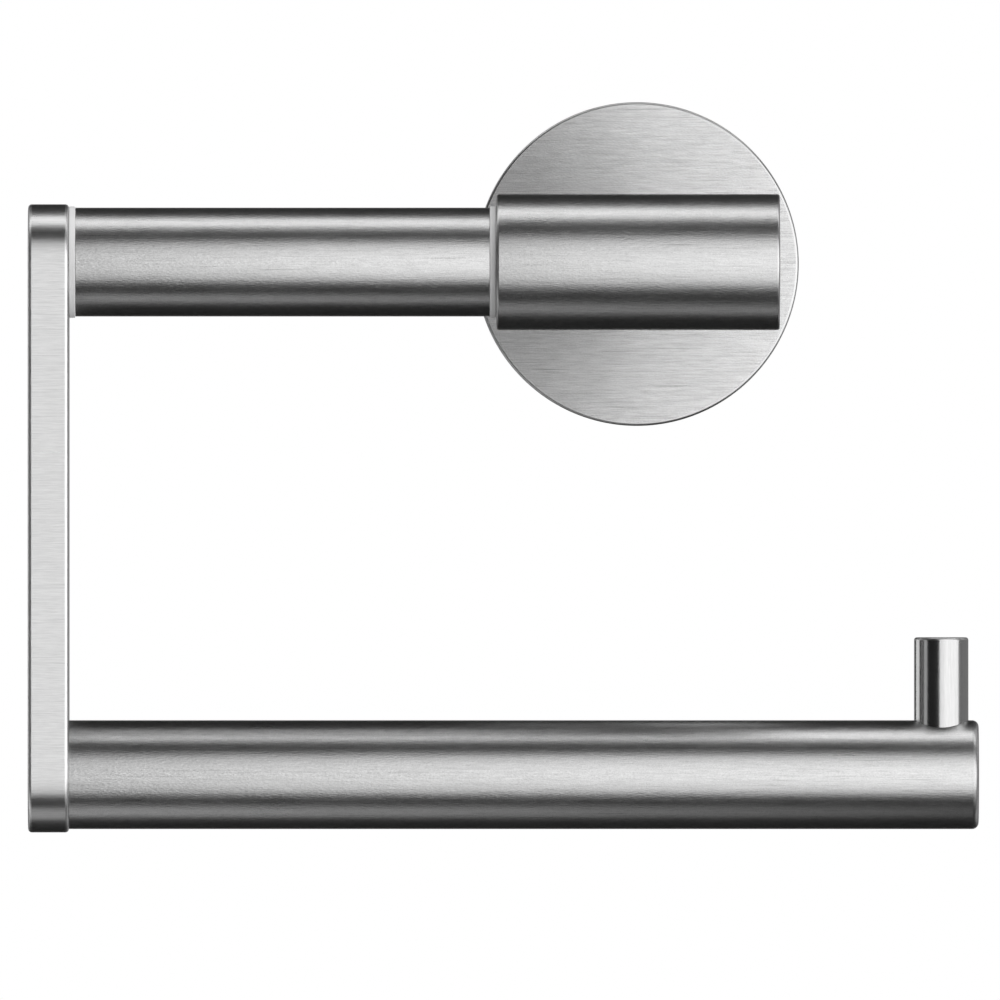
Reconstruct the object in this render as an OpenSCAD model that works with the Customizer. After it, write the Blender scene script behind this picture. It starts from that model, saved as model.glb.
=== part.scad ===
// Wall-mounted toilet paper holder with a swinging arm.
// A round rosette hides the wall plate. A neck carries the hub, and the arm's axle turns in two
// bushes inside it. A loose sleeve turns on the axle between the hub and the side plate. The roll
// hangs on the lower bar, and an upright pin stops it from sliding off.
// The back of the wall plate lies in the plane y = 0, and the object faces -Y.

/* [Rosette and wall plate] */
// Diameter of the rosette
rosette_d = 48; // [44:0.5:60]
// Distance from the wall to the rosette's front face
rosette_depth = 8; // [7:0.5:14]
// Thickness of the rosette's front
rosette_front = 1.5; // [1.2:0.1:2]
// Thickness of the rosette's rim
rosette_rim = 3; // [2.5:0.1:3.5]
// Rounding of the rosette's front edge
rosette_edge_r = 0.45; // [0.2:0.05:1]
// How much smaller the wall plate's radius is at the wall than at its front
dovetail = 1; // [0.4:0.1:1.5]
// Distance between the two wall screws
wall_screw_spacing = 28; // [24:1:30]
// Diameter of the holes for the wall screws
wall_hole_d = 5; // [4:0.1:6]
// Distance from the wall to the axis of the rosette's grub screw
rosette_grub_y = 2.2; // [2:0.1:2.6]

/* [Neck] */
// Distance from the wall to the axis of the hub
reach = 61.5; // [45:0.5:90]
// Diameter of the neck
neck_d = 18; // [12:0.5:18]
// Thread diameter of the screw that holds the neck
neck_screw_d = 6; // [5:0.5:8]
// Length of that screw under its head
neck_screw_l = 12; // [8:0.5:20]
// Head diameter of that screw
neck_head_d = 10.5; // [9:0.5:14]
// Head height of that screw
neck_head_h = 3.3; // [2.5:0.1:3.4]

/* [Hub] */
// Diameter of the hub
hub_d = 20; // [19:0.5:26]
// Length of the hub
hub_l = 41.7; // [38:0.1:60]
// Rounding of the hub's two edges
hub_edge_r = 0.4; // [0.2:0.05:1]
// Solid thickness left at the hub's closed end
hub_floor = 5; // [2:0.5:8]
// Length of each bush in the hub
hub_bush_l = 8; // [5:0.5:12]
// Wall of each bush in the hub
hub_bush_wall = 1.5; // [1:0.1:2]

/* [Axle and sleeve] */
// Diameter of the axle
axle_d = 8; // [6:0.5:8.5]
// Depth of the groove that the retainer screw's point runs in
groove_depth = 1; // [0.6:0.1:1.5]
// Diameter of the sleeve
sleeve_d = 16; // [14.5:0.5:19]
// Wall of the sleeve
sleeve_wall = 1.5; // [1:0.1:2]
// Length of the sleeve without its bushes
sleeve_l = 61; // [40:0.5:90]
// Thickness of the flange on each sleeve bush
flange_t = 0.9; // [0.6:0.1:2]
// How far the flanges stand proud of the sleeve's radius
flange_lip = 0.2; // [0:0.05:0.3]
// How far each sleeve bush reaches into the sleeve
sleeve_bush_l = 7; // [4:0.5:12]

/* [Side plate] */
// Thickness of the side plate
plate_t = 6; // [5:0.1:10]
// Depth of the side plate from front to back
plate_w = 17; // [16.5:0.5:24]
// Distance between the sleeve's axis and the roll bar's axis
drop = 75.4; // [60:0.1:100]
// Rounding of the side plate's edges
plate_edge_r = 0.55; // [0.2:0.05:1]
// Depth of the two blind seats in the side plate
seat_depth = 4; // [3:0.1:4.2]

/* [Roll bar and pin] */
// Diameter of the roll bar
bar_d = 16; // [14:0.5:16.5]
// Wall of the roll bar
bar_wall = 1.5; // [1:0.1:2]
// Length of the roll bar from the side plate to its free end
bar_l = 133.8; // [110:0.1:160]
// Rounding of the roll bar's free end
bar_edge_r = 0.95; // [0.3:0.05:0.95]
// Diameter of the spigot that holds the roll bar in the side plate
bar_spigot_d = 10; // [7:0.5:11]
// How far the root plug reaches into the roll bar
root_plug_l = 12; // [8:0.5:20]
// Length of the end plug in the roll bar
end_plug_l = 14; // [12:0.5:24]
// Diameter of the pin
pin_d = 8; // [6:0.5:10]
// Height of the pin above the roll bar
pin_h = 12.2; // [8:0.1:20]
// Distance from the roll bar's free end to the pin's axis
pin_inset = 5.5; // [5:0.1:8]
// Rounding of the pin's top
pin_edge_r = 0.4; // [0.2:0.05:1]
// Diameter of the pin's spigot
pin_spigot_d = 5; // [3:0.5:6]
// How far the pin's spigot reaches past the roll bar's axis
pin_spigot_past_axis = 1; // [0:0.5:3]

/* [Grub screws] */
// Thread diameter of the two grub screws in the side plate
grub_d = 4; // [3:0.5:4]
// Thread diameter of the retainer screw in the hub
retainer_d = 3; // [2.5:0.5:4]
// How far the retainer screw leans from straight below towards the wall, in degrees
retainer_lean = 13; // [10:1:15]
// Thread diameter of the rosette's grub screw
small_grub_d = 3; // [2:0.5:3]
// How far each grub screw sits below the surface
grub_sunk = 0.3; // [0.1:0.1:0.6]
// Size of the hexagon socket across its flats, as a share of the thread diameter
hex_share = 0.5; // [0.4:0.05:0.6]
// Depth of the hexagon socket, as a share of the thread diameter
socket_depth_share = 0.4; // [0.3:0.05:0.45]

/* [Fits] */
// Clearance on the radius between pieces that turn on each other
running_gap = 0.05; // [0.03:0.01:0.08]
// Clearance on the radius between pieces that are pressed or bonded together
press_gap = 0.02; // [0.01:0.01:0.04]
// Clearance on the radius between a screw and its threaded hole
thread_gap = 0.04; // [0.02:0.01:0.08]
// Clearance at the end of the sleeve, on each side
side_play = 0.03; // [0.02:0.01:0.1]
// Clearance on the radius between the rosette and the wall plate
rosette_gap = 0.15; // [0.1:0.05:0.3]
// Clearance at the bottom of blind seats and in front of hidden screw heads
end_gap = 0.2; // [0.1:0.05:0.4]

/* [Hidden] */
$fn = 96;

rosette_r = rosette_d / 2;
// The neck screw's head fits between the rosette's front and the wall plate
wall_plate_t = rosette_depth - rosette_front - neck_head_h - end_gap;
rosette_bore_r = rosette_r - rosette_rim;
wall_plate_r = rosette_bore_r - rosette_gap;

hub_r = hub_d / 2;
hub_left = -hub_l / 2;
hub_bush_r = axle_d / 2 + running_gap + hub_bush_wall;
hub_bore_r = hub_bush_r + press_gap;
hub_bore_l = hub_l - hub_floor;
hub_bore_end = hub_left + hub_bore_l;
axle_right = hub_bore_end - end_gap;
inner_bush_left = hub_bore_end - hub_bush_l;
// The retainer screw stands midway between the two bushes
retainer_x = (hub_left + hub_bush_l + inner_bush_left) / 2;
retainer_point_d = retainer_d * 0.55;
groove_r = axle_d / 2 - groove_depth;
// The groove leaves the screw's point a little more room than the sleeve has
groove_w = retainer_point_d + 6 * side_play;

flange_r = sleeve_d / 2 + flange_lip;
right_flange_x = hub_left - side_play;
sleeve_right = right_flange_x - flange_t;
sleeve_left = sleeve_right - sleeve_l;
left_flange_x = sleeve_left - flange_t;

plate_right = left_flange_x - side_play;
plate_left = plate_right - plate_t;
plate_r = plate_w / 2;
seat_left = plate_right - seat_depth;
// The side plate's grub screws stand in the middle of its thickness
grub_x = plate_left + plate_t / 2;
axle_left = seat_left + end_gap;

bar_r = bar_d / 2;
bar_right = plate_right + bar_l;
bar_bore_r = bar_r - bar_wall;
plug_r = bar_bore_r - press_gap;
pin_x = bar_right - pin_inset;

// Turns +Z to -Y, out from the wall
module out_from_wall() { rotate([90, 0, 0]) children(); }

// Turns +Z to +X, along the bars
module along_x() { rotate([0, 90, 0]) children(); }

// Moves to the axis that the sleeve, the axle and the hub share, at x
module on_axle_line(x = 0) { translate([x, -reach, 0]) children(); }

// Moves to the axle where the retainer screw stands, and turns +Z along that screw
module on_retainer_line() { on_axle_line(retainer_x) rotate([retainer_lean, 0, 0]) children(); }

// Moves to the roll bar's axis, at x
module on_bar_line(x = 0) { translate([x, -reach, -drop]) children(); }

// Half section of a round bar along Y, with rounded rims at its start and its end
module bar_section(r, l, start_r = 0, end_r = 0) {
    start_rim = start_r > 0 ? [[r - start_r, 0], [r, start_r]] : [[r, 0]];
    end_rim = end_r > 0 ? [[r, l - end_r], [r - end_r, l]] : [[r, l]];
    polygon(concat([[0, 0]], start_rim, end_rim, [[0, l]]));
    if (start_r > 0) translate([r - start_r, start_r]) circle(start_r);
    if (end_r > 0) translate([r - end_r, l - end_r]) circle(end_r);
}

// Solid turned bar along +Z
module turned_bar(d, l, start_r = 0, end_r = 0) {
    rotate_extrude() bar_section(d / 2, l, start_r, end_r);
}

// Hexagon socket for a screw of thread diameter d, sunk along +Z from z = 0
module hex_socket(d, depth) {
    translate([0, 0, -1]) cylinder(d = d * hex_share / cos(30), h = 1 + depth, $fn = 6);
}

// Grub screw along +Z, with its socket at z = 0 and a cone point at z = l
module cone_point_screw(d, l, tip_d) {
    cone_l = (d - tip_d) / 2;
    difference() {
        union() {
            cylinder(d = d, h = l - cone_l);
            translate([0, 0, l - cone_l]) cylinder(d1 = d, d2 = tip_d, h = cone_l);
        }
        hex_socket(d, d * socket_depth_share);
    }
}

// Grub screw along +Z, with its socket at z = 0 and a round dog point from z = l
module dog_point_screw(d, l, dog_d, dog_l) {
    difference() {
        union() {
            cylinder(d = d, h = l);
            cylinder(d = dog_d, h = l + dog_l);
        }
        hex_socket(d, d * socket_depth_share);
    }
}

// Round plate that the two wall screws hold; its dovetail rim is narrower at the wall
module wall_plate() {
    color("darkgray") out_from_wall() difference() {
        cylinder(r1 = wall_plate_r - dovetail, r2 = wall_plate_r, h = wall_plate_t);
        for (side = [-1, 1])
            translate([side * wall_screw_spacing / 2, 0, -1])
                cylinder(d = wall_hole_d, h = wall_plate_t + 2);
    }
}

// Turned cup over the wall plate
module rosette() {
    color("silver") difference() {
        out_from_wall() difference() {
            turned_bar(rosette_d, rosette_depth, 0, rosette_edge_r);
            translate([0, 0, -1])
                cylinder(r = rosette_bore_r, h = rosette_depth - rosette_front + 1);
            cylinder(r = neck_screw_d / 2 + end_gap, h = rosette_depth + 1);
        }
        translate([0, -rosette_grub_y, -rosette_r - 1])
            cylinder(r = small_grub_d / 2 + thread_gap, h = rosette_rim + 2);
    }
}

// Its cone presses on the dovetail rim and draws the rosette to the wall
module rosette_grub_screw() {
    tip_d = small_grub_d / 3;
    // Of the tip, the edge away from the wall meets the rim first
    contact_y = min(rosette_grub_y + tip_d / 2, wall_plate_t);
    rim_r = wall_plate_r - dovetail * (1 - contact_y / wall_plate_t);
    tip_r = rim_r + thread_gap;
    head_r = rosette_r - grub_sunk;
    color("dimgray") translate([0, -rosette_grub_y, -head_r])
        cone_point_screw(small_grub_d, head_r - tip_r, tip_d);
}

// Post from the rosette to the hub, mitred to the hub's curve and tapped at its back
module neck() {
    tapped_l = neck_screw_l - rosette_front + end_gap;
    color("silver") difference() {
        out_from_wall() translate([0, 0, rosette_depth])
            cylinder(d = neck_d, h = reach - rosette_depth);
        on_axle_line() along_x() translate([0, 0, -neck_d])
            cylinder(r = hub_r + press_gap, h = 2 * neck_d);
        out_from_wall() translate([0, 0, rosette_depth - 1])
            cylinder(r = neck_screw_d / 2 + thread_gap, h = tapped_l + 1);
    }
}

// Button-head screw from inside the rosette into the neck
module neck_screw() {
    head_y = rosette_depth - rosette_front;
    color("dimgray") out_from_wall() difference() {
        union() {
            translate([0, 0, head_y]) cylinder(d = neck_screw_d, h = neck_screw_l);
            translate([0, 0, head_y - neck_head_h])
                turned_bar(neck_head_d, neck_head_h, neck_head_h / 2, 0);
        }
        translate([0, 0, head_y - neck_head_h])
            hex_socket(neck_screw_d, neck_screw_d * socket_depth_share);
    }
}

// Turned housing of the swivel, bored from the left and closed at the right
module hub() {
    color("silver") difference() {
        on_axle_line(hub_left) along_x() difference() {
            turned_bar(hub_d, hub_l, hub_edge_r, hub_edge_r);
            translate([0, 0, -1]) cylinder(r = hub_bore_r, h = hub_bore_l + 1);
        }
        on_retainer_line() translate([0, 0, -hub_r - 1])
            cylinder(r = retainer_d / 2 + thread_gap, h = hub_r + 1);
    }
}

// Plain bearing bush for the axle, along +X
module hub_bush() {
    color("white") along_x() difference() {
        cylinder(r = hub_bush_r, h = hub_bush_l);
        translate([0, 0, -1]) cylinder(r = axle_d / 2 + running_gap, h = hub_bush_l + 2);
    }
}

module hub_bush_outer() { on_axle_line(hub_left) hub_bush(); }

module hub_bush_inner() { on_axle_line(inner_bush_left) hub_bush(); }

// Dog-point screw in the hub's underside; its point runs in the axle's groove
module axle_retainer_screw() {
    head_r = hub_r - grub_sunk;
    point_end = groove_r + 3 * running_gap;
    body_end = axle_d / 2 + 3 * running_gap;
    color("dimgray") on_retainer_line() translate([0, 0, -head_r])
        dog_point_screw(retainer_d, head_r - body_end, retainer_point_d, body_end - point_end);
}

// Thin tube that turns freely on the axle
module sleeve_tube() {
    color("silver") on_axle_line(sleeve_left) along_x() difference() {
        cylinder(d = sleeve_d, h = sleeve_l);
        translate([0, 0, -1]) cylinder(r = sleeve_d / 2 - sleeve_wall, h = sleeve_l + 2);
    }
}

// Flanged bush with its flange at z = 0 and its barrel towards +Z
module sleeve_bush() {
    color("white") difference() {
        union() {
            cylinder(r = flange_r, h = flange_t);
            cylinder(r = sleeve_d / 2 - sleeve_wall - press_gap, h = flange_t + sleeve_bush_l);
        }
        translate([0, 0, -1])
            cylinder(r = axle_d / 2 + running_gap, h = flange_t + sleeve_bush_l + 2);
    }
}

module sleeve_bush_left() { on_axle_line(left_flange_x) along_x() sleeve_bush(); }

module sleeve_bush_right() {
    on_axle_line(right_flange_x) mirror([1, 0, 0]) along_x() sleeve_bush();
}

// Rod that the arm turns on, with the groove for the retainer screw
module axle() {
    color("gainsboro") difference() {
        on_axle_line(axle_left) along_x() cylinder(d = axle_d, h = axle_right - axle_left);
        on_axle_line(retainer_x - groove_w / 2) along_x() difference() {
            cylinder(d = axle_d + 1, h = groove_w);
            translate([0, 0, -1]) cylinder(r = groove_r, h = groove_w + 2);
        }
    }
}

// Profile across the side plate, with rounded corners: X is its thickness, Y its depth
module plate_profile() {
    e = plate_edge_r;
    polygon([
        [0, e - plate_r], [e, -plate_r], [plate_t - e, -plate_r], [plate_t, e - plate_r],
        [plate_t, plate_r - e], [plate_t - e, plate_r], [e, plate_r], [0, plate_r - e]
    ]);
    for (x = [e, plate_t - e], y = [e - plate_r, plate_r - e]) translate([x, y]) circle(e);
}

// Half-round end of the side plate: a turned disc, cut in half
module plate_end() {
    along_x() rotate_extrude(angle = 180)
        bar_section(plate_r, plate_t, plate_edge_r, plate_edge_r);
}

// Threaded hole from the side plate's rear edge, just into the seat of a rod of diameter rod_d
module grub_hole(rod_d) {
    start = rod_d / 2 - grub_d / 4;
    rotate([-90, 0, 0]) translate([0, 0, start])
        cylinder(r = grub_d / 2 + thread_gap, h = plate_r - start + 1);
}

// Flat bar with half-round ends and blind seats for the axle and the roll bar's spigot
module side_plate() {
    color("silver") difference() {
        union() {
            on_bar_line(plate_left) linear_extrude(drop) plate_profile();
            on_axle_line(plate_left) rotate([90, 0, 0]) plate_end();
            on_bar_line(plate_left) rotate([-90, 0, 0]) plate_end();
        }
        on_axle_line(seat_left) along_x()
            cylinder(r = axle_d / 2 + press_gap, h = seat_depth + 1);
        on_bar_line(seat_left) along_x()
            cylinder(r = bar_spigot_d / 2 + press_gap, h = seat_depth + 1);
        on_axle_line(grub_x) grub_hole(axle_d);
        on_bar_line(grub_x) grub_hole(bar_spigot_d);
    }
}

// Grub screw from the side plate's rear edge onto a rod of diameter rod_d, at height z
module side_plate_grub_screw(rod_d, z) {
    head_r = plate_r - grub_sunk;
    tip_r = rod_d / 2 + thread_gap;
    color("dimgray") translate([grub_x, head_r - reach, z]) rotate([90, 0, 0])
        cone_point_screw(grub_d, head_r - tip_r, grub_d / 2);
}

module axle_grub_screw() { side_plate_grub_screw(axle_d, 0); }

module bar_grub_screw() { side_plate_grub_screw(bar_spigot_d, -drop); }

// Tube that carries the roll, with its free end rounded
module roll_bar() {
    color("silver") difference() {
        on_bar_line(plate_right) along_x() difference() {
            turned_bar(bar_d, bar_l, 0, bar_edge_r);
            translate([0, 0, -1]) cylinder(r = bar_bore_r, h = bar_l + 2);
        }
        on_bar_line(pin_x) cylinder(r = pin_spigot_d / 2 + thread_gap, h = bar_d);
    }
}

// Turned plug in the roll bar's fixed end, with the spigot that enters the side plate
module bar_root_plug() {
    color("gray") {
        on_bar_line(plate_right) along_x() cylinder(r = plug_r, h = root_plug_l);
        on_bar_line(seat_left + end_gap) along_x()
            cylinder(d = bar_spigot_d, h = seat_depth - end_gap + 1);
    }
}

// Turned plug that closes the free end, tapped for the pin
module bar_end_plug() {
    color("silver") difference() {
        on_bar_line(bar_right - end_plug_l) along_x() cylinder(r = plug_r, h = end_plug_l);
        on_bar_line(pin_x) translate([0, 0, -pin_spigot_past_axis - end_gap])
            cylinder(r = pin_spigot_d / 2 + thread_gap, h = bar_d);
    }
}

// Upright stop pin, its foot mitred to the roll bar's curve, with a spigot into the end plug
module end_pin() {
    color("silver") {
        difference() {
            on_bar_line(pin_x) turned_bar(pin_d, bar_r + pin_h, 0, pin_edge_r);
            on_bar_line(pin_x - pin_d) along_x() cylinder(r = bar_r + press_gap, h = 2 * pin_d);
        }
        on_bar_line(pin_x) translate([0, 0, -pin_spigot_past_axis])
            cylinder(d = pin_spigot_d, h = pin_spigot_past_axis + bar_r + pin_h / 2);
    }
}

wall_plate();
rosette();
rosette_grub_screw();
neck();
neck_screw();
hub();
hub_bush_outer();
hub_bush_inner();
axle_retainer_screw();
sleeve_tube();
sleeve_bush_left();
sleeve_bush_right();
axle();
side_plate();
axle_grub_screw();
bar_grub_screw();
roll_bar();
bar_root_plug();
bar_end_plug();
end_pin();
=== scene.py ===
from math import cos, radians, sin, tan

import bmesh
import bpy
import numpy as np
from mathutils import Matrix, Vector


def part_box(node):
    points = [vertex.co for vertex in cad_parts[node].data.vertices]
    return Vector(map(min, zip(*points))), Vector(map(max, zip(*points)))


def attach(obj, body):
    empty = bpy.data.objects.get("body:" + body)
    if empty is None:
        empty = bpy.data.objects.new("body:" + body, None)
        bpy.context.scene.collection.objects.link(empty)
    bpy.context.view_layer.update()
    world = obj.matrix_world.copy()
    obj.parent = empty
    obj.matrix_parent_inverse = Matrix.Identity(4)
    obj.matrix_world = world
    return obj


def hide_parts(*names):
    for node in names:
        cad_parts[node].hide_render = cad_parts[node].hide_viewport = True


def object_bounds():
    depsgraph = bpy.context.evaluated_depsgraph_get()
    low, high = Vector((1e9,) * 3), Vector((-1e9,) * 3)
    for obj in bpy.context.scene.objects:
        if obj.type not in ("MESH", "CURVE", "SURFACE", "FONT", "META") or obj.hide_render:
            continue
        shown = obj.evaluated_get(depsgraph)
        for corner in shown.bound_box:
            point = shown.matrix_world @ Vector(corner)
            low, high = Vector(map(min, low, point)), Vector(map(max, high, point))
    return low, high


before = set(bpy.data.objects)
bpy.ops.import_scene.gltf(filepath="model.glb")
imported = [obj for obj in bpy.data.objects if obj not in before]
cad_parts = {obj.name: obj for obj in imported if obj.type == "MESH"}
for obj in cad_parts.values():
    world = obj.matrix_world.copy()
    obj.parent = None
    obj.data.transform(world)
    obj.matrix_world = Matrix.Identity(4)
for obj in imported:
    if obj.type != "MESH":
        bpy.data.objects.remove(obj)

MM = 0.001
cad_box = [list(corner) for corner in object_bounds()]

# The camera looks level at the front of the holder through a very long lens, so that the near and
# the far pieces show at the same scale. The view is a little lower than the middle of the holder.
CAMERA_DISTANCE = 6.5
VIEW_WIDTH = 147.1 * MM
VIEW_LEFT_OF_MIDDLE = 0.5 * MM
VIEW_BELOW_MIDDLE = 5.05 * MM
SENSOR = 36


def ends_of(node):
    """The lowest and highest corners of a node as arrays."""
    return [np.array(corner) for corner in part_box(node)]


box_middle = np.mean(cad_box, axis=0)
hub_low, hub_high = ends_of("hub")
hub_middle = (hub_low + hub_high) / 2
_, axle_y, axle_z = hub_middle

camera_data = bpy.data.cameras.new("camera")
camera_data.sensor_width = SENSOR
camera_data.lens = SENSOR * CAMERA_DISTANCE / VIEW_WIDTH
camera_data.clip_end = 2 * CAMERA_DISTANCE
camera = bpy.data.objects.new("camera", camera_data)
camera.location = (
    box_middle[0] - VIEW_LEFT_OF_MIDDLE,
    axle_y - CAMERA_DISTANCE,
    box_middle[2] - VIEW_BELOW_MIDDLE,
)
camera.rotation_euler = (radians(90), 0, 0)
bpy.context.scene.collection.objects.link(camera)
bpy.context.scene.camera = camera
bpy.context.scene.view_settings.view_transform = "Standard"


# The studio: a white surround, a pale floor far below, softboxes in front, above and behind, and
# dark cloths between them, which give the steel its dark bands. Each hangs on a sphere round the
# holder, out of the camera's sight, and only those with lights_matt reach the matt pieces.
class Field:
    """A value that varies over a surface. Python arithmetic on fields adds Math nodes."""

    def __init__(self, finish, socket):
        self.finish = finish
        self.socket = socket

    def math(self, operation, *values):
        sockets = dict(enumerate(values))
        return self.finish.add("ShaderNodeMath", {"operation": operation}, sockets)

    def __add__(self, other):
        return self.math("ADD", self, other)

    def __sub__(self, other):
        return self.math("SUBTRACT", self, other)

    def __rsub__(self, other):
        return self.math("SUBTRACT", other, self)

    def __mul__(self, other):
        return self.math("MULTIPLY", self, other)

    def __truediv__(self, other):
        return self.math("DIVIDE", self, other)

    def at_least(self, other):
        """The larger of the two."""
        return self.math("MAXIMUM", self, other)

    def power(self, exponent):
        return self.math("POWER", self, exponent)

    __radd__ = __add__
    __rmul__ = __mul__


class Finish:
    """The nodes of one material, or of the world."""

    def __init__(self, owner):
        owner.use_nodes = True
        self.owner = owner
        self.tree = owner.node_tree
        self.tree.nodes.clear()

    def add(self, kind, settings, sockets, output=0):
        """Adds a node: its settings first, then its sockets' values or links. Returns an output."""
        node = self.tree.nodes.new(kind)
        for name, value in settings.items():
            setattr(node, name, value)
        for key, value in sockets.items():
            if isinstance(value, Field):
                self.tree.links.new(value.socket, node.inputs[key])
            else:
                node.inputs[key].default_value = value
        return Field(self, node.outputs[output]) if len(node.outputs) else None

    def place(self):
        """Where a point of the surface lies, in the holder's frame."""
        return self.add("ShaderNodeTexCoord", {}, {}, "Object")

    def part(self, place, axis):
        """How far a place lies along the axis "x", "y" or "z"."""
        return self.add("ShaderNodeSeparateXYZ", {}, {0: place}, axis.upper())

    def grey(self, level):
        """A neutral colour of that level."""
        return self.add("ShaderNodeCombineColor", {}, {"Red": level, "Green": level, "Blue": level})

    def material_with(self, surface):
        """Gives the material that surface, and returns the material."""
        self.add("ShaderNodeOutputMaterial", {}, {"Surface": surface})
        return self.owner


def seen_directly(finish):
    """1 for rays from the camera and for rays by way of metal or glass, and 0 for the others."""
    camera_ray = finish.add("ShaderNodeLightPath", {}, {}, "Is Camera Ray")
    glossy_ray = finish.add("ShaderNodeLightPath", {}, {}, "Is Glossy Ray")
    clear_ray = finish.add("ShaderNodeLightPath", {}, {}, "Is Transmission Ray")
    return camera_ray.at_least(glossy_ray).at_least(clear_ray)


WHITE = (1, 1, 1, 1)
SURROUND_LIGHT = 0.7
FLOOR_GREY = (0.5, 0.5, 0.5, 1)
FLOOR_LIFT = 0.66
FLOOR_DROP = 9.0
FLOOR_HALF_WIDTH = 30.0

world = bpy.data.worlds.new("white_surround")
world_finish = Finish(world)
world_strength = SURROUND_LIGHT + (1 - SURROUND_LIGHT) * seen_directly(world_finish)
surround = world_finish.add(
    "ShaderNodeBackground", {}, {"Color": WHITE, "Strength": world_strength}
)
world_finish.add("ShaderNodeOutputWorld", {}, {"Surface": surround})
world.cycles.sampling_method = "NONE"
bpy.context.scene.world = world


def stage_piece(name, corners, faces, material):
    """Adds a piece of the studio, which isn't part of the holder."""
    mesh = bpy.data.meshes.new(name)
    mesh.from_pydata(corners, [], faces)
    mesh.materials.append(material)
    piece = bpy.data.objects.new(name, mesh)
    bpy.context.scene.collection.objects.link(piece)
    return piece


floor_finish = Finish(bpy.data.materials.new("pale_floor"))
floor_paint = floor_finish.add("ShaderNodeBsdfDiffuse", {}, {"Color": FLOOR_GREY})
floor_strength = FLOOR_LIFT * seen_directly(floor_finish)
floor_lift = floor_finish.add(
    "ShaderNodeEmission", {}, {"Color": WHITE, "Strength": floor_strength}
)
floor_surface = floor_finish.add("ShaderNodeAddShader", {}, {0: floor_paint, 1: floor_lift})
floor_corners = [
    (x * FLOOR_HALF_WIDTH, y * FLOOR_HALF_WIDTH, -FLOOR_DROP)
    for x, y in ((-1, -1), (1, -1), (1, 1), (-1, 1))
]
stage_piece("floor", floor_corners, [(0, 1, 2, 3)], floor_finish.material_with(floor_surface))


def grid_quads(rows, columns, row_wraps=False, column_wraps=False):
    """The faces of a grid of rows times columns points, numbered row by row."""
    last_row = rows if row_wraps else rows - 1
    last_column = columns if column_wraps else columns - 1
    row, column = np.meshgrid(np.arange(last_row), np.arange(last_column), indexing="ij")
    next_row = (row + 1) % rows
    next_column = (column + 1) % columns
    corners = [
        row * columns + column,
        row * columns + next_column,
        next_row * columns + next_column,
        next_row * columns + column,
    ]
    return np.stack(corners, axis=-1).reshape(-1, 4)


CARD_POINTS = 24
LEAST_LEAN = 0.2


def studio_card(name, over, across, radius, level, fade=0.0, lean=0.0, lights_matt=False):
    """
    A patch of a sphere round the holder. Its point at the angles over and across lies at the
    radius times (sin across, -cos across cos over, cos across sin over): over goes from the
    front (0) by the top (90) to the back (180), and across from the left (-90) to the right
    (90). Its light is the level times (1 - fade (height / radius)^2), and times
    (1 + lean x / radius) or LEAST_LEAN, whichever is more.
    """
    over_grid, across_grid = np.meshgrid(
        np.radians(np.linspace(*over, CARD_POINTS)),
        np.radians(np.linspace(*across, CARD_POINTS)),
        indexing="ij",
    )
    depth = np.cos(across_grid)
    directions = np.stack(
        [np.sin(across_grid), -depth * np.cos(over_grid), depth * np.sin(over_grid)],
        axis=-1,
    )
    corners = (hub_middle + radius * directions).reshape(-1, 3)
    finish = Finish(bpy.data.materials.new(name))
    if fade or lean:
        place = finish.place()
        across_share = finish.part(place, "x") / radius
        height_share = finish.part(place, "z") / radius
        level = level * (1 - fade * height_share * height_share)
        level = level * (1 + lean * across_share).at_least(LEAST_LEAN)
    glow = finish.add("ShaderNodeEmission", {}, {"Color": WHITE, "Strength": level})
    material = finish.material_with(glow)
    if not lights_matt:
        material.cycles.emission_sampling = "NONE"
    faces = grid_quads(CARD_POINTS, CARD_POINTS)
    card = stage_piece(name, corners.tolist(), faces.tolist(), material)
    card.visible_camera = False
    card.visible_shadow = False
    card.visible_diffuse = lights_matt


LOW = 0.4
NEAR = 6.0
MIDDLE = 6.5
FAR = 7.0
studio_card("front_softbox_left", (-42, 43), (-7, 12), NEAR, 1.34, fade=0.9, lights_matt=True)
studio_card("front_softbox_right", (-42, 43), (12, 78), NEAR, 1.55, fade=0.9, lights_matt=True)
studio_card("left_front_cloth", (-42, 43), (-60, -7), MIDDLE, 0.02, lights_matt=True)
studio_card("left_ridge_card", (-20, 20), (-80, -62), NEAR, 0.56)
studio_card("top_softbox", (79, 105), (-45, 45), NEAR, 1.38, lights_matt=True)
studio_card("low_card", (-98, -74), (-60, 60), LOW, 0.225, lean=-3.2)
studio_card("back_left_softbox", (160, 200), (-73, -45), NEAR, 1.0)
studio_card("back_right_card", (150, 210), (25, 80), NEAR, 0.24)
studio_card("back_middle_card", (165, 195), (-28, 23), NEAR, 0.3)
for over, level in (((-72, -46), 0.35), ((47, 73), 0.15), ((114, 146), 0.6), ((214, 250), 0.4)):
    studio_card("left_side_card", over, (-78, -28), NEAR, level)
    studio_card("right_side_card", over, (28, 78), NEAR, level)
studio_card("right_cloth", (-110, 250), (78, 90), MIDDLE, 0.22)
studio_card("dark_cloth_front", (-90, 80), (-90, 90), FAR, 0.006)
studio_card("dark_cloth_above", (80, 150), (-90, 90), FAR, 0.012)
studio_card("dark_cloth_back", (150, 270), (-90, 90), FAR, 0.014)


# Rosette: a turned and brushed cup of stainless steel that hides the wall plate. Its front edge is
# rounded, the brushing runs level across the front and round the rim, and a small hole at the
# underside of the rim takes the grub screw.
POINTS_AROUND = 192
AROUND = np.linspace(0, 2 * np.pi, POINTS_AROUND, endpoint=False)
ARC_STEPS = 8
CUT_SHARE = 0.65
EDGE_SUPPORT = 0.02 * MM
SUPPORT_SHARE = 0.1
SAME_PLACE = 0.0001 * MM
NO_LENGTH = 0.00001 * MM
SHARP_ANGLE = radians(35)
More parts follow.
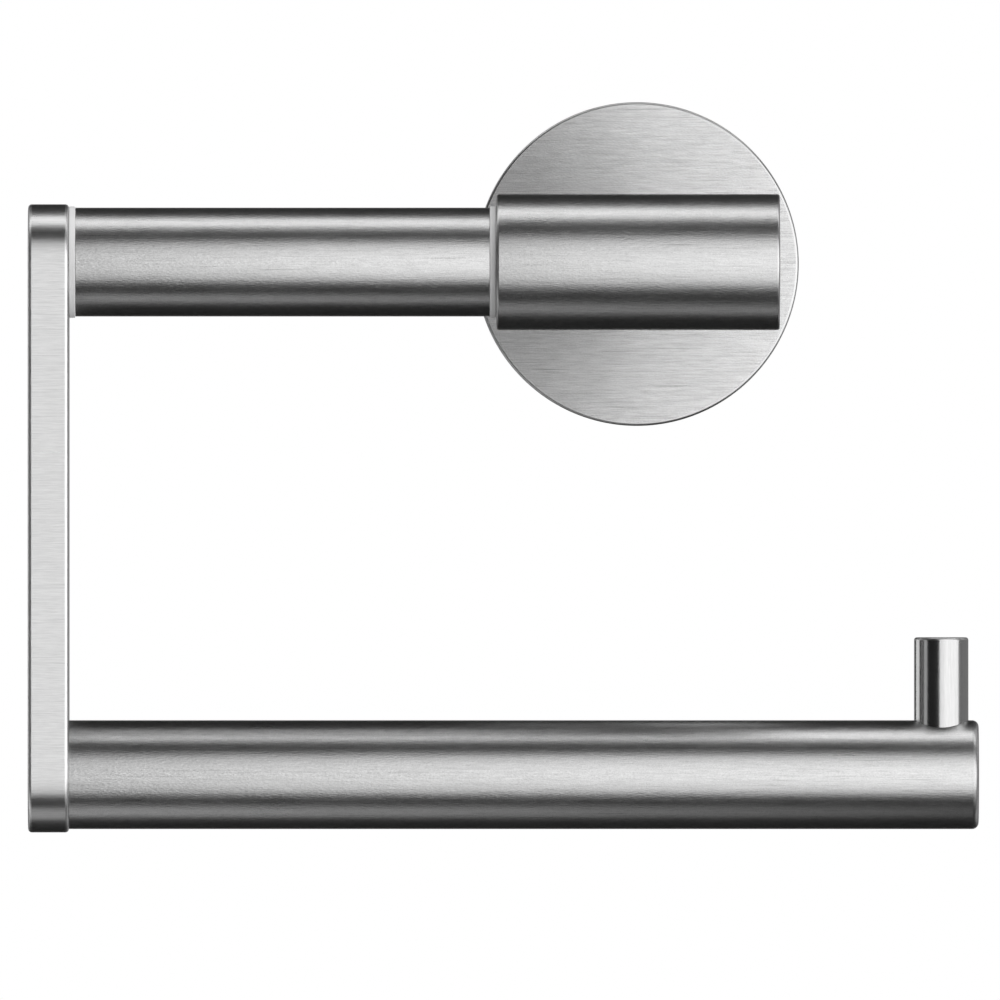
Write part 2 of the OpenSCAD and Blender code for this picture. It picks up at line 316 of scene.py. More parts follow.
# Each piece has three finishes: on its plain surface, on its rounded edges and on its ends.
PLAIN, EDGE, END = 0, 1, 2
# For each way that a piece can point: that direction, then the second and third, square to it.
AXES = {
    "x": np.array([[1, 0, 0], [0, 1, 0], [0, 0, 1]], float),
    "-x": np.array([[-1, 0, 0], [0, 1, 0], [0, 0, -1]], float),
    "-y": np.array([[0, -1, 0], [1, 0, 0], [0, 0, 1]], float),
    "z": np.array([[0, 0, 1], [1, 0, 0], [0, 1, 0]], float),
    "-z": np.array([[0, 0, -1], [1, 0, 0], [0, -1, 0]], float),
}


def rounded_profile(corners):
    """
    The outline through corners (along, out, radius, finish), where finish is that of the side
    which starts there. A corner with a radius r becomes an arc that meets both sides
    r / tan(half the corner's angle) from the corner, but at most CUT_SHARE of the shorter side,
    about a centre on the bisector. A support point just past each end of an arc keeps the flats'
    shading true. Returns the points (along, out) and the finish of the faces between each point
    and the next.
    """
    spots = np.array([corner[:2] for corner in corners], float)
    points, finishes = [], []
    for i, (_, _, radius, finish) in enumerate(corners):
        here = spots[i]
        if radius == 0:
            points.append(here)
            finishes.append(finish)
            continue
        before = spots[i - 1] - here
        after = spots[(i + 1) % len(corners)] - here
        before_length, after_length = np.linalg.norm(before), np.linalg.norm(after)
        shorter = min(before_length, after_length)
        before, after = before / before_length, after / after_length
        half_angle = np.arccos(np.clip(before @ after, -1, 1)) / 2
        cut = min(radius / tan(half_angle), CUT_SHARE * shorter)
        radius = cut * tan(half_angle)
        centre = here + (before + after) / np.linalg.norm(before + after) * radius / sin(half_angle)
        start, end = here + before * cut - centre, here + after * cut - centre
        turn = np.arctan2(start[0] * end[1] - start[1] * end[0], start @ end)
        angle = np.linspace(0, turn, ARC_STEPS + 1)
        arc_along = start[0] * np.cos(angle) - start[1] * np.sin(angle)
        arc_out = start[0] * np.sin(angle) + start[1] * np.cos(angle)
        support = min(EDGE_SUPPORT, SUPPORT_SHARE * shorter)
        points.append(here + before * (cut + support))
        points.extend(centre + np.stack([arc_along, arc_out], axis=-1))
        points.append(here + after * (cut + support))
        finishes += [corners[i - 1][3]] + [EDGE] * ARC_STEPS + [finish, finish]
    return np.array(points), np.array(finishes)


def carried_round(place, axis, along, out):
    """
    The grid of points at the distances along the axis through place and out from it. At angle t
    a point lies out cos t along the axis's second direction and out sin t along its third.
    """
    direction, second, third = AXES[axis]
    spokes = np.cos(AROUND)[:, None] * second + np.sin(AROUND)[:, None] * third
    return place + along[..., None] * direction + out[..., None] * spokes


def finish_mesh(mesh):
    """Shades the rounds smooth and keeps the true edges crisp."""
    mesh.polygons.foreach_set("use_smooth", np.ones(len(mesh.polygons), bool))
    mesh.set_sharp_from_angle(angle=SHARP_ANGLE)


def closed_piece(name, points, finishes, materials, loop=False):
    """
    Makes a piece from a grid of points whose columns run round it. If loop is true its rows close
    on themselves too, as a ring's do. Otherwise the first and the last row each shrink to a pole.
    """
    rows, columns = points.shape[:2]
    mesh = bpy.data.meshes.new(name)
    quads = grid_quads(rows, columns, row_wraps=loop, column_wraps=True)
    mesh.from_pydata(points.reshape(-1, 3).tolist(), [], quads.tolist())
    for material in materials:
        mesh.materials.append(material)
    row_finishes = finishes[: rows if loop else rows - 1]
    mesh.polygons.foreach_set("material_index", np.repeat(row_finishes, columns).astype(np.int32))
    shell = bmesh.new()
    shell.from_mesh(mesh)
    bmesh.ops.remove_doubles(shell, verts=shell.verts, dist=SAME_PLACE)
    bmesh.ops.dissolve_degenerate(shell, edges=shell.edges, dist=NO_LENGTH)
    bmesh.ops.recalc_face_normals(shell, faces=shell.faces)
    shell.to_mesh(mesh)
    shell.free()
    finish_mesh(mesh)
    piece = bpy.data.objects.new(name, mesh)
    bpy.context.scene.collection.objects.link(piece)
    return piece


def turned_piece(name, corners, place, axis, materials, loop=False):
    """A piece turned on a lathe: its rounded outline carried round the axis through place."""
    outline, finishes = rounded_profile(corners)
    points = carried_round(place, axis, outline[:, :1], outline[:, 1:])
    return closed_piece(name, points, finishes, materials, loop)


def fit(piece, body, slot, *nodes):
    """Fits a piece to its body and hides the nodes it stands for. The slot is not used."""
    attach(piece, body)
    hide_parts(*nodes)


HOLE_BEVEL = 0.12 * MM
DRILL_ABOVE = 1 * MM


def drill(piece, *holes):
    """
    Drills round holes for good. Each is (place, axis, radius, depth), from the surface at place
    along the axis, with a small bevel at its mouth.
    """
    drills = []
    for place, axis, radius, depth in holes:
        outline = [
            (-DRILL_ABOVE, 0, 0, END),
            (-DRILL_ABOVE, radius + HOLE_BEVEL + DRILL_ABOVE, 0, END),
            (HOLE_BEVEL, radius, 0, END),
            (depth, radius, 0, END),
            (depth, 0, 0, END),
        ]
        drills.append(turned_piece("drill", outline, np.array(place), axis, piece.data.materials))
        cut = piece.modifiers.new("hole", "BOOLEAN")
        cut.object = drills[-1]
        cut.solver = "EXACT"
    evaluated = piece.evaluated_get(bpy.context.evaluated_depsgraph_get())
    drilled = bpy.data.meshes.new_from_object(evaluated)
    piece.modifiers.clear()
    piece.data = drilled
    finish_mesh(drilled)
    for tool in drills:
        bpy.data.objects.remove(tool)


BOW_SLOPE = tan(radians(2.0))
RELIEF = 0.01 * MM
FULL_MARK_R = 8 * MM
SMALLEST_RING_R = 0.01 * MM


def steel(
    name,
    grain=None,
    ring=None,
    painted_shade_run=None,
    bow=None,
    gritty=1.0,
    tone=0.67,
    roughness=0.285,
    wear=1.0,
):
    """
    Stainless steel with the marks of its making: brushed along the grain "x", "y" or "z", or
    turned about ring = (axis, a point on it), or plain. Long streaks, short dashes, hairlines,
    fine specks and broad clouds vary its tone. Streaks, dashes, hairlines and grit vary its
    surface, and clouds and streaks its roughness. A few streaks are deeper scratches. The wear
    is how strong the marks in tone and surface are, and gritty how strong the finest of them
    are, the specks and the grit. Over painted_shade_run = (start, tone there, end, tone there)
    in X the tone changes. This is painted shade: it darkens the steel where nearby parts shade
    it. The surface is bowed a little between bow = (start, end) in X, as polishing leaves it:
    the height falls from the middle by the square of the distance, up to a slope of BOW_SLOPE
    at the ends.
    """
    finish = Finish(bpy.data.materials.new(name))
    place = finish.place()

    def marks(length, width, detail, seed):
        """
        Noise about 0, of that length along the grain and that width across it. On turned steel
        it follows rings round the axis, and has its full length at FULL_MARK_R from it.
        """
        if ring:
            turning, centre = ring
            offset = finish.add(
                "ShaderNodeVectorMath", {"operation": "SUBTRACT"}, {0: place, 1: tuple(centre)}
            )
            height = finish.part(offset, turning)
            first, second = (finish.part(offset, axis) for axis in "xyz" if axis != turning)
            radius = (first * first + second * second).power(0.5).at_least(SMALLEST_RING_R)
            coil = FULL_MARK_R / length
            spread = finish.add(
                "ShaderNodeCombineXYZ",
                {},
                {
                    0: (radius + height) / width + seed,
                    1: first / radius * coil,
                    2: second / radius * coil + seed,
                },
            )
        else:
            sizes = [length if axis == grain else width for axis in "xyz"]
            spread = finish.add(
                "ShaderNodeVectorMath",
                {"operation": "MULTIPLY_ADD"},
                {0: place, 1: tuple(1 / size for size in sizes), 2: (seed, 2 * seed, 3 * seed)},
            )
        noise = finish.add(
            "ShaderNodeTexNoise",
            {"noise_dimensions": "3D"},
            {"Vector": spread, "Scale": 1.0, "Detail": detail, "Roughness": 0.6},
        )
        return noise - 0.5

    streaks = marks(7 * MM, 0.25 * MM, detail=3, seed=3.1)
    dashes = marks(2.4 * MM, 0.16 * MM, detail=1, seed=5.3)
    hairlines = marks(1.6 * MM, 0.09 * MM, detail=0, seed=7.7)
    grit = gritty * marks(0.5 * MM, 0.11 * MM, detail=0, seed=11.3)
    specks = gritty * marks(0.17 * MM, 0.12 * MM, detail=0, seed=29.3)
    clouds = marks(14 * MM, 9 * MM, detail=2, seed=17.9)
    scratches = (marks(10 * MM, 0.14 * MM, detail=0, seed=23.9) + 0.5).power(8)
    marked = 0.25 * streaks + 0.25 * dashes + 0.16 * hairlines + 0.33 * specks + 0.1 * clouds
    level = tone * (1 + wear * (marked - 0.8 * scratches))
    if painted_shade_run:
        start, start_tone, end, end_tone = painted_shade_run
        level = level * finish.add(
            "ShaderNodeMapRange",
            {"interpolation_type": "SMOOTHSTEP"},
            {"Value": finish.part(place, "x"), 1: start, 2: end, 3: start_tone, 4: end_tone},
        )
    relief = wear * RELIEF
    height = 0.25 * streaks + 0.2 * dashes + 0.2 * hairlines + 1.35 * grit - 0.6 * scratches
    if bow:
        start, end = bow
        from_middle = finish.part(place, "x") - (start + end) / 2
        height = height - BOW_SLOPE / (end - start) / relief * from_middle * from_middle
    bump = finish.add(
        "ShaderNodeBump", {}, {"Strength": 1.0, "Distance": relief, "Height": height}
    )
    surface = finish.add(
        "ShaderNodeBsdfPrincipled",
        {},
        {
            "Base Color": finish.grey(level),
            "Metallic": 1.0,
            "Roughness": roughness + 0.04 * clouds + 0.03 * streaks,
            "Normal": bump,
        },
    )
    return finish.material_with(surface)


BROKEN_EDGE_R = 0.1 * MM
SOFT_EDGE_R = 0.15 * MM
INSIDE_EDGE_R = 0.4 * MM
THREAD_GAP = 0.04 * MM
END_GAP = 0.2 * MM
ROSETTE_FRONT = 1.5 * MM
ROSETTE_RIM = 3 * MM
ROSETTE_EDGE_R = 0.45 * MM
NECK_SCREW_D = 6 * MM
SMALL_SCREW_D = 3 * MM
SMALL_SCREW_HOLE_R = SMALL_SCREW_D / 2 + THREAD_GAP
rosette_low, rosette_high = ends_of("rosette")
rosette_r = rosette_high[0]
rosette_depth = -rosette_low[1]
rosette_bore_r = rosette_r - ROSETTE_RIM
rosette_hole_r = NECK_SCREW_D / 2 + END_GAP
front_inside = rosette_depth - ROSETTE_FRONT
wall_centre = np.zeros(3)
edge_steel = steel("edge_steel", tone=0.7, roughness=0.3, wear=0.4)
rosette = turned_piece(
    "rosette_cup",
    [
        (0, rosette_bore_r, BROKEN_EDGE_R, END),
        (0, rosette_r, SOFT_EDGE_R, END),
        (rosette_depth, rosette_r, ROSETTE_EDGE_R, PLAIN),
        (rosette_depth, rosette_hole_r, BROKEN_EDGE_R, END),
        (front_inside, rosette_hole_r, BROKEN_EDGE_R, END),
        (front_inside, rosette_bore_r, INSIDE_EDGE_R, END),
    ],
    wall_centre,
    "-y",
    [
        steel(
            "rosette_steel",
            grain="x",
            # Painted shade: the front's tone darkens towards the left, where the hub, the neck and
            # the sleeve shade it.
            painted_shade_run=(-20 * MM, 0.66, 6 * MM, 1.03),
            bow=(-rosette_r, rosette_r),
            gritty=0.8,
            tone=0.86,
            roughness=0.45,
            wear=1.5,
        ),
        edge_steel,
        steel("rosette_rim_steel", ring=("y", wall_centre)),
    ],
    loop=True,
)
rosette_grub_low, rosette_grub_high = ends_of("rosette_grub_screw")
rosette_grub_y = (rosette_grub_low[1] + rosette_grub_high[1]) / 2
drill(rosette, ((0, rosette_grub_y, -rosette_r), "z", SMALL_SCREW_HOLE_R, 2 * ROSETTE_RIM))
fit(rosette, "wall_mount", "brushed_steel", "rosette")


# Wall plate: a stamped steel disc with two holes for the wall screws. The rosette's grub screw, a
# stainless socket set screw with a cone point, presses on its sloped rim from below.
SMALL_SCREW_PITCH = 0.5 * MM
SMALL_SCREW_POINT_D = 1 * MM
screw_steel = steel("screw_steel", tone=0.5, roughness=0.3, wear=0.5)


def seat_of(node, axis):
    """Where a screw's head lies if it points along the axis, that axis, and the screw's length."""
    low, high = ends_of(node)
    along = AXES[axis][0]
    length = abs((high - low) @ along)
    return (low + high) / 2 - along * length / 2, axis, length


def set_screw(name, head, axis, length, diameter, pitch, point_d, dog_length=0.0):
    """
    A socket set screw from its head along the axis. At height h and angle t the thread's radius
    is the crest's less its depth times a triangle wave of h / pitch - t / (2 pi), cut back to a
    cone at both ends. The socket is a hexagon: its radius is half the width across flats over
    the cosine of the angle to the nearest flat.
    """
    crest_r = diameter / 2
    thread_depth = 0.55 * pitch
    chamfer = 0.45 * pitch
    thread_end = length - dog_length
    first_ring, ring_step = chamfer / 4, pitch / 8
    height = np.arange(first_ring, thread_end, ring_step)[:, None]
    wave = np.abs(2 * np.mod(height / pitch - AROUND / (2 * np.pi), 1) - 1)
    thread = crest_r - thread_depth * wave
    lead_in = crest_r - chamfer + height
    point_r = point_d / 2
    point_edge = 0.1 * point_d
    point = point_r + thread_end - height
    shank = np.minimum(thread, np.minimum(lead_in, point))

    flat_r = diameter / 4
    hexagon = flat_r / np.cos(np.mod(AROUND, np.pi / 3) - np.pi / 6)
    mouth_r = flat_r / cos(radians(30)) + 0.05 * diameter
    mouth_bevel = 0.06 * diameter
    socket_depth = 0.4 * diameter
    socket_cone = 0.4 * flat_r
    along, out = zip(
        (socket_depth + socket_cone, 0),
        (socket_depth, hexagon),
        (mouth_bevel, hexagon),
        (0, mouth_r),
        (0, crest_r - chamfer),
        *zip(height[:, 0], shank),
        (thread_end, point_r),
        (length - point_edge, point_r),
        (length, point_r - point_edge),
        (length, 0),
    )
    out = np.array([radius + 0 * AROUND for radius in out])
    points = carried_round(head, axis, np.array(along)[:, None], out)
    return closed_piece(name, points, np.full(len(along), PLAIN), [screw_steel])


def refinish(node, material):
    """Gives a CAD node, whose shape is right as it is, its real finish."""
    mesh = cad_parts[node].data
    mesh.materials.clear()
    mesh.materials.append(material)


rosette_grub = set_screw(
    "rosette_set_screw",
    *seat_of("rosette_grub_screw", "z"),
    SMALL_SCREW_D,
    SMALL_SCREW_PITCH,
    SMALL_SCREW_POINT_D,
)
fit(rosette_grub, "wall_mount", "screw_steel", "rosette_grub_screw")
refinish("wall_plate", steel("stamped_steel", grain="z", tone=0.5, roughness=0.34, wear=0.8))


# Neck: a turned post that carries the hub. Its end is mitred to the hub's curve and joined by a
# fine weld all round, and a button-head screw from inside the rosette holds it.
WELD = 0.5 * MM
WELD_STEPS = 8
NECK_BORE_R = NECK_SCREW_D / 2 + THREAD_GAP
NECK_BORE_DEPTH = 10.7 * MM
NECK_MOUTH_R = 0.2 * MM
NECK_SIDE_START = 1 * MM
_, neck_high = ends_of("neck")
neck_r = neck_high[0]
neck_bore_end = rosette_depth + NECK_BORE_DEPTH
hub_r = (hub_high[2] - hub_low[2]) / 2


def fall_of_bar(radius, out):
    """
    How far a round bar's surface falls away from its ridge at the distance out from a point of
    the ridge and at the angle t from the bar's length: R - sqrt(R^2 - (out sin t)^2).
    """
    return radius - np.sqrt(radius**2 - (out * np.sin(AROUND)) ** 2)


def hub_back(out):
    """How far from the wall the hub's back lies, all round the neck's axis at the distance out."""
    return -axle_y - hub_r + fall_of_bar(hub_r, out)


neck_start, neck_finish = rounded_profile(
    [
        (neck_bore_end + NECK_BORE_R / 2, 0, 0, END),
        (neck_bore_end, NECK_BORE_R, 0, END),
        (rosette_depth, NECK_BORE_R, NECK_MOUTH_R, END),
        (rosette_depth, neck_r, SOFT_EDGE_R, END),
        (rosette_depth + NECK_SIDE_START, neck_r, 0, END),
    ]
)
# The weld is a quarter turn of radius WELD from the neck's side out to the hub. Past it the cap
# follows the hub's back to the neck's axis.
weld_turn = np.linspace(0, np.pi / 2, WELD_STEPS + 1)[:, None]
weld_out = neck_r + WELD * (1 - np.cos(weld_turn)) + 0 * AROUND
weld_along = hub_back(weld_out) - WELD * (1 - np.sin(weld_turn))
cap_out = np.linspace(neck_r + WELD, 0, WELD_STEPS + 1)[1:, None] + 0 * AROUND
neck_along = np.vstack([neck_start[:, :1] + 0 * AROUND, weld_along, hub_back(cap_out)])
neck_out = np.vstack([neck_start[:, 1:] + 0 * AROUND, weld_out, cap_out])
neck = closed_piece(
    "neck_post",
    carried_round(wall_centre, "-y", neck_along, neck_out),
    np.concatenate([neck_finish, np.full(2 * WELD_STEPS + 1, EDGE)]),
    # The post's steel is darker than the other steel. This is painted shade: it stands in for the
    # shade under the hub, which shows in the roll bar's reflection.
    [edge_steel, edge_steel, steel("neck_steel_painted_shade", ring=("y", wall_centre), tone=0.4)],
)
fit(neck, "wall_mount", "brushed_steel", "neck")
refinish("neck_screw", screw_steel)


# Hub: the swivel's housing, turned from 20 mm bar, bored from the left and closed at the right. It
# is brushed along its length. Two plain bushes line the bore, and a dog-point screw, which enters
# from below and leans to the wall, holds the axle.
PRESS_GAP = 0.02 * MM
HUB_EDGE_R = 0.4 * MM
RETAINER_LEAN = radians(13)
RETAINER_LENGTH = 6.55 * MM
RETAINER_SUNK = 0.3 * MM
DOG_D = 1.65 * MM
DOG_LENGTH = 1 * MM


def on_axle(x):
    """The point of the axle's line at x."""
    return np.array([x, axle_y, axle_z])


hub_start = on_axle(hub_low[0])
hub_length = hub_high[0] - hub_low[0]
bush_low, bush_high = ends_of("hub_bush_outer")
hub_bore_r = (bush_high[2] - bush_low[2]) / 2 + PRESS_GAP
hub_bore_length = ends_of("hub_bush_inner")[1][0] - hub_low[0]
hub = turned_piece(
    "hub_body",
    [
        (hub_length, 0, 0, END),
        (hub_length, hub_r, HUB_EDGE_R, PLAIN),
        (0, hub_r, HUB_EDGE_R, END),
        (0, hub_bore_r, SOFT_EDGE_R, END),
        (hub_bore_length, hub_bore_r, 0, END),
        (hub_bore_length, 0, 0, END),
    ],
    hub_start,
    "x",
    [
        steel("hub_steel", grain="x", bow=(hub_low[0], hub_high[0])),
        edge_steel,
        steel("hub_end_steel", ring=("x", hub_start)),
    ],
)
retainer_low, retainer_high = ends_of("axle_retainer_screw")
retainer_x = (retainer_low[0] + retainer_high[0]) / 2
lean_sin, lean_cos = sin(RETAINER_LEAN), cos(RETAINER_LEAN)
AXES["leaning"] = np.array([[0, -lean_sin, lean_cos], [1, 0, 0], [0, lean_cos, lean_sin]])
retainer_way = AXES["leaning"][0]
retainer_mouth = on_axle(retainer_x) - hub_r * retainer_way
drill(hub, (retainer_mouth, "leaning", SMALL_SCREW_HOLE_R, hub_r))
fit(hub, "wall_mount", "brushed_steel", "hub")
retainer = set_screw(
    "retainer_set_screw",
    retainer_mouth + RETAINER_SUNK * retainer_way,
    "leaning",
    RETAINER_LENGTH,
    SMALL_SCREW_D,
    SMALL_SCREW_PITCH,
    DOG_D,
    DOG_LENGTH,
)
fit(retainer, "wall_mount", "screw_steel", "axle_retainer_screw")


def white_nylon(name, seed):
    """Moulded nylon: matt white with a very fine grain, and greyer in patches from handling."""
    finish = Finish(bpy.data.materials.new(name))
    place = finish.place()

    def noise(size, detail):
        """Noise about 0 of that size."""
        cloud = finish.add(
            "ShaderNodeTexNoise",
            {"noise_dimensions": "4D"},
            {"Vector": place, "W": seed, "Scale": 1 / size, "Detail": detail},
        )
        return cloud - 0.5

    grain = noise(0.12 * MM, detail=2)
    patches = noise(4 * MM, detail=3)
    bump = finish.add(
        "ShaderNodeBump", {}, {"Strength": 0.6, "Distance": 0.01 * MM, "Height": grain}
    )
    surface = finish.add(
        "ShaderNodeBsdfPrincipled",
        {},
        {
            "Base Color": finish.grey(0.92 + 0.05 * patches + 0.03 * grain),
            "Roughness": 0.45 + 0.2 * patches,
            "Normal": bump,
        },
    )
    return finish.material_with(surface)


nylon = white_nylon("white_nylon", seed=1.0)
for bush in ("hub_bush_outer", "hub_bush_inner"):
    refinish(bush, nylon)


# Axle: a turned steel rod that is fixed in the side plate and turns in the hub. The groove near
# its right end takes the retainer screw's point, and both ends are chamfered.
AXLE_CHAMFER = 0.4 * MM
GROOVE_DEPTH = 1 * MM
GROOVE_WIDTH = 1.83 * MM
GROOVE_EDGE_R = 0.08 * MM
GROOVE_CORNER_R = 0.1 * MM
axle_low, axle_high = ends_of("axle")
axle_start = on_axle(axle_low[0])
axle_length = axle_high[0] - axle_low[0]
axle_r = (axle_high[2] - axle_low[2]) / 2
groove_r = axle_r - GROOVE_DEPTH
groove_start = retainer_x - GROOVE_WIDTH / 2 - axle_low[0]
groove_end = groove_start + GROOVE_WIDTH
turned_steel = steel("turned_steel", ring=("x", axle_start), tone=0.6, roughness=0.28)
axle = turned_piece(
    "axle_rod",
    [
        (0, 0, 0, END),
        (0, axle_r - AXLE_CHAMFER, 0, END),
        (AXLE_CHAMFER, axle_r, 0, PLAIN),
        (groove_start, axle_r, GROOVE_EDGE_R, PLAIN),
        (groove_start, groove_r, GROOVE_CORNER_R, PLAIN),
        (groove_end, groove_r, GROOVE_CORNER_R, PLAIN),
        (groove_end, axle_r, GROOVE_EDGE_R, PLAIN),
        (axle_length - AXLE_CHAMFER, axle_r, 0, END),
        (axle_length, axle_r - AXLE_CHAMFER, 0, END),
        (axle_length, 0, 0, END),
    ],
    axle_start,
    "x",
    [turned_steel] * 3,
)
fit(axle, "arm", "turned_steel", "axle")


# Sleeve: a thin stainless tube, brushed along its length, that spins on the axle. A flanged nylon
# bush is pressed into each end, and the flanges show as two white rings.
SLEEVE_WALL = 1.5 * MM
FLANGE_THICKNESS = 0.9 * MM
LEAD_IN_R = 0.4 * MM
RUNNING_GAP = 0.05 * MM
sleeve_low, sleeve_high = ends_of("sleeve_tube")
sleeve_start = on_axle(sleeve_low[0])
sleeve_length = sleeve_high[0] - sleeve_low[0]
sleeve_r = (sleeve_high[2] - sleeve_low[2]) / 2
sleeve_bore_r = sleeve_r - SLEEVE_WALL
sleeve = turned_piece(
    "sleeve_shell",
    [
        (0, sleeve_r, BROKEN_EDGE_R, PLAIN),
        (sleeve_length, sleeve_r, BROKEN_EDGE_R, END),
        (sleeve_length, sleeve_bore_r, BROKEN_EDGE_R, END),
        (0, sleeve_bore_r, BROKEN_EDGE_R, END),
    ],
    sleeve_start,
    "x",
    [
        steel("sleeve_steel", grain="x", bow=(sleeve_low[0], sleeve_high[0])),
        edge_steel,
        steel("tube_end_steel", ring=("x", sleeve_start)),
    ],
    loop=True,
)
fit(sleeve, "sleeve", "brushed_steel", "sleeve_tube")

bush_r = sleeve_bore_r - PRESS_GAP
bush_bore_r = axle_r + RUNNING_GAP
for node, axis in (("sleeve_bush_left", "x"), ("sleeve_bush_right", "-x")):
    low, high = ends_of(node)
    flange_r = (high[2] - low[2]) / 2
    bush_length = high[0] - low[0]
    flange_face = low[0] if axis == "x" else high[0]
    bush = turned_piece(
        node + "_flanged",
        [
            (0, bush_bore_r, BROKEN_EDGE_R, PLAIN),
            (0, flange_r, SOFT_EDGE_R, PLAIN),
            (FLANGE_THICKNESS, flange_r, SOFT_EDGE_R, PLAIN),
            (FLANGE_THICKNESS, bush_r, 0, PLAIN),
            (bush_length, bush_r, LEAD_IN_R, PLAIN),
            (bush_length, bush_bore_r, BROKEN_EDGE_R, PLAIN),
        ],
        on_axle(flange_face),
        axis,
        [nylon] * 3,
        loop=True,
    )
    fit(bush, "sleeve", "white_nylon", node)


# Side plate: flat stainless bar with half-round ends, brushed along its faces and across its
# edge, with softly rounded corners. The axle and the roll bar's spigot sit in blind holes in its
# right face, and a set screw from the rear edge holds each.
PLATE_EDGE_R = 0.55 * MM
PLATE_COLUMNS = 96
SEAT_DEPTH = 4 * MM
SPIGOT_R = 5 * MM
GRUB_D = 4 * MM
GRUB_PITCH = 0.7 * MM
GRUB_POINT_D = 2 * MM
GRUB_HOLE_R = GRUB_D / 2 + THREAD_GAP
GRUB_PAST = 1 * MM
plate_low, plate_high = ends_of("side_plate")
plate_r = (plate_high[1] - plate_low[1]) / 2
plate_thickness = plate_high[0] - plate_low[0]
bar_low, bar_high = ends_of("roll_bar")
bar_z = (bar_low[2] + bar_high[2]) / 2
plate_profile, plate_finishes = rounded_profile(
    [
        (0, 0, 0, END),
        (0, plate_r, PLATE_EDGE_R, PLAIN),
        (plate_thickness, plate_r, PLATE_EDGE_R, END),
        (plate_thickness, 0, 0, END),
    ]
)
# The profile goes half round the axle's line, down to the roll bar's line and half round that. At
# distance r from a line and at angle t a point lies r cos t behind it and r sin t above it.
half_turn = np.linspace(0, np.pi, PLATE_COLUMNS + 1)
plate_angle = np.concatenate([half_turn, half_turn + np.pi])
line_z = np.repeat([axle_z, bar_z], PLATE_COLUMNS + 1)
plate_along, plate_out = plate_profile[:, :1], plate_profile[:, 1:]
plate_points = np.stack(
    [
        plate_low[0] + plate_along + 0 * plate_angle,
        axle_y + plate_out * np.cos(plate_angle),
        line_z + plate_out * np.sin(plate_angle),
    ],
    axis=-1,
)
plate = closed_piece(
    "side_plate_bar",
    plate_points,
    plate_finishes,
    [
        steel("plate_edge_steel", grain="x", gritty=0.2, tone=0.685, wear=0.9),
        # The rounded corners' steel is paler than the faces'. This is the steel's own tone with a
        # painted highlight on the rounds.
        steel("plate_round_steel_painted_highlight", grain="z", tone=0.85, roughness=0.36, wear=0.7),
        steel("plate_face_steel", grain="z", tone=0.66, roughness=0.34),
    ],
)
grub_x = (plate_low[0] + plate_high[0]) / 2
plate_right, plate_rear = plate_high[:2]
drill(
    plate,
    ((plate_right, axle_y, axle_z), "-x", axle_r + PRESS_GAP, SEAT_DEPTH),
    ((plate_right, axle_y, bar_z), "-x", SPIGOT_R + PRESS_GAP, SEAT_DEPTH),
    ((grub_x, plate_rear, axle_z), "-y", GRUB_HOLE_R, plate_r - axle_r + GRUB_PAST),
    ((grub_x, plate_rear, bar_z), "-y", GRUB_HOLE_R, plate_r - SPIGOT_R + GRUB_PAST),
)
fit(plate, "arm", "brushed_steel", "side_plate")
for node in ("axle_grub_screw", "bar_grub_screw"):
    seat = seat_of(node, "-y")
    screw = set_screw(node + "_threaded", *seat, GRUB_D, GRUB_PITCH, GRUB_POINT_D)
    fit(screw, "arm", "screw_steel", node)


# Roll bar: 16 mm stainless tube, brushed along its length, with a rounded free end that a turned
# plug closes flush. A plug with a spigot joins its other end to the side plate.
BAR_WALL = 1.5 * MM
BAR_END_R = 0.95 * MM
PIN_SPIGOT_R = 2.5 * MM
bar_start = np.array([bar_low[0], axle_y, bar_z])
bar_end = np.array([bar_high[0], axle_y, bar_z])
bar_length = bar_high[0] - bar_low[0]
bar_r = (bar_high[2] - bar_low[2]) / 2
bar_bore_r = bar_r - BAR_WALL
bar_end_steel = steel("bar_end_steel", ring=("x", bar_start), tone=0.66)
bar = turned_piece(
    "roll_bar_tube",
    [
        (0, bar_r, BROKEN_EDGE_R, PLAIN),
        (bar_length, bar_r, BAR_END_R, END),
        (bar_length, bar_bore_r, BROKEN_EDGE_R, END),
        (0, bar_bore_r, BROKEN_EDGE_R, END),
    ],
    bar_start,
    "x",
    [
        steel("bar_steel", grain="x", bow=(bar_low[0], bar_high[0])),
        steel("bar_round_steel", ring=("x", bar_start), tone=0.64, roughness=0.34),
        bar_end_steel,
    ],
    loop=True,
)
pin_low, pin_high = ends_of("end_pin")
pin_x = (pin_low[0] + pin_high[0]) / 2
pin_depth = bar_high[2] - pin_low[2]
pin_hole = ((pin_x, axle_y, bar_high[2]), "-z", PIN_SPIGOT_R + THREAD_GAP)
drill(bar, (*pin_hole, 2 * BAR_WALL))
fit(bar, "arm", "brushed_steel", "roll_bar")

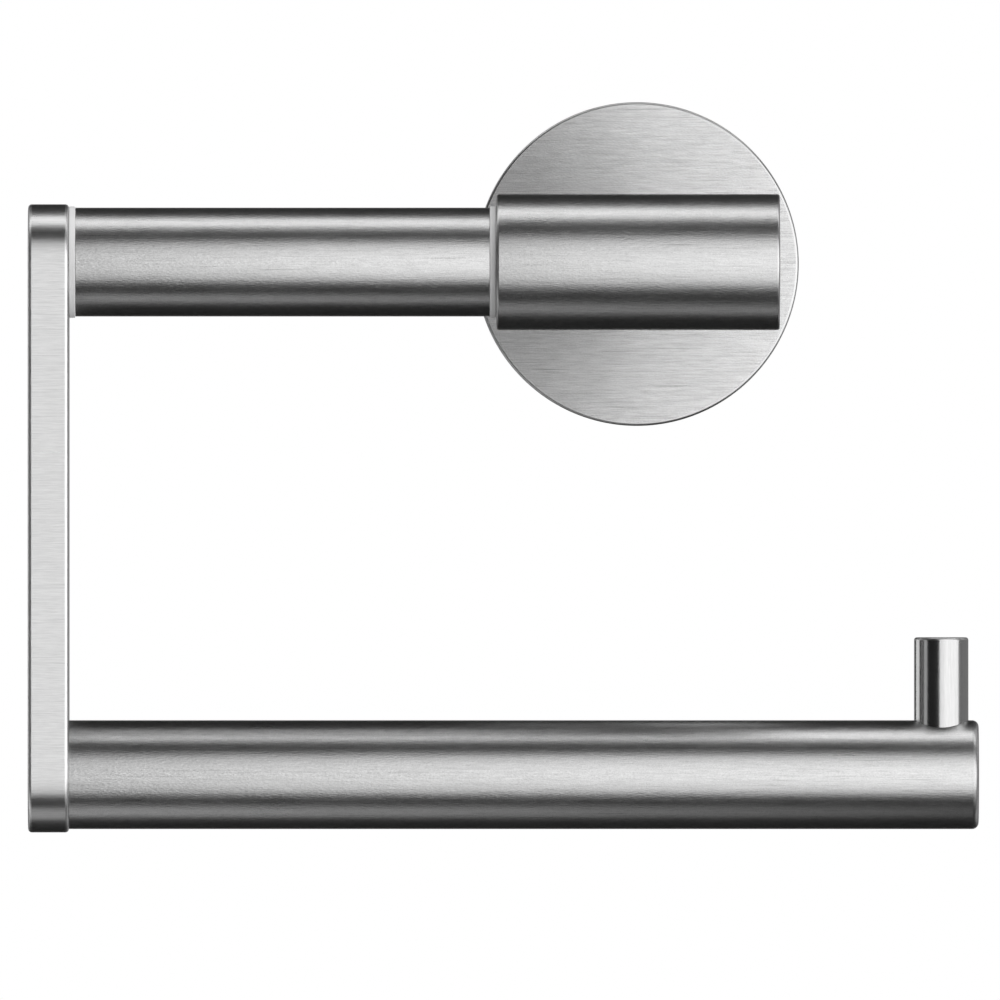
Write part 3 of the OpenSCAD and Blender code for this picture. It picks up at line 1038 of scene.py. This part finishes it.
plug_low, plug_high = ends_of("bar_end_plug")
plug_length = plug_high[0] - plug_low[0]
plug_r = bar_bore_r - PRESS_GAP
end_plug = turned_piece(
    "bar_end_plug_turned",
    [
        (0, 0, 0, END),
        (0, plug_r, BROKEN_EDGE_R, PLAIN),
        (plug_length, plug_r, LEAD_IN_R, PLAIN),
        (plug_length, 0, 0, PLAIN),
    ],
    bar_end,
    "-x",
    [turned_steel, edge_steel, bar_end_steel],
)
drill(end_plug, (*pin_hole, pin_depth + END_GAP))
fit(end_plug, "arm", "brushed_steel", "bar_end_plug")
refinish("bar_root_plug", turned_steel)


# Pin: 8 mm stainless rod that keeps the roll on, with a rounded top, brushed upright. Its foot is
# mitred to the roll bar's curve, and a thinner spigot goes down into the end plug.
PIN_EDGE_R = 0.4 * MM
PIN_TIP_R = 0.3 * MM
pin_r = (pin_high[0] - pin_low[0]) / 2
pin_bottom, pin_top = pin_low[2], pin_high[2]
foot_z = bar_high[2] + PRESS_GAP
pin_profile, pin_finishes = rounded_profile(
    [
        (pin_top, 0, 0, END),
        (pin_top, pin_r, PIN_EDGE_R, PLAIN),
        (foot_z, pin_r, 0, PLAIN),
        (foot_z, PIN_SPIGOT_R, 0, PLAIN),
        (pin_bottom, PIN_SPIGOT_R, PIN_TIP_R, PLAIN),
        (pin_bottom, 0, 0, PLAIN),
    ]
)
# The foot falls away with the bar's surface. That fall fades out up to the top's round, and down
# the spigot.
pin_height, pin_out = pin_profile[:, :1], pin_profile[:, 1:]
side_top = pin_top - PIN_EDGE_R
side_share = (side_top - pin_height) / (side_top - foot_z)
spigot_share = (pin_height - pin_bottom) / (foot_z - pin_bottom)
share = np.clip(np.where(pin_height >= foot_z, side_share, spigot_share), 0, 1)
pin_along = pin_height - share * fall_of_bar(bar_r, pin_out)
pin = closed_piece(
    "stop_pin",
    carried_round((pin_x, axle_y, 0), "z", pin_along, pin_out),
    pin_finishes,
    [
        steel("pin_steel", grain="z", gritty=0.3, tone=0.575, roughness=0.19, wear=0.5),
        edge_steel,
        steel("pin_top_steel", ring=("z", (pin_x, axle_y, foot_z))),
    ],
)
fit(pin, "arm", "brushed_steel", "end_pin")
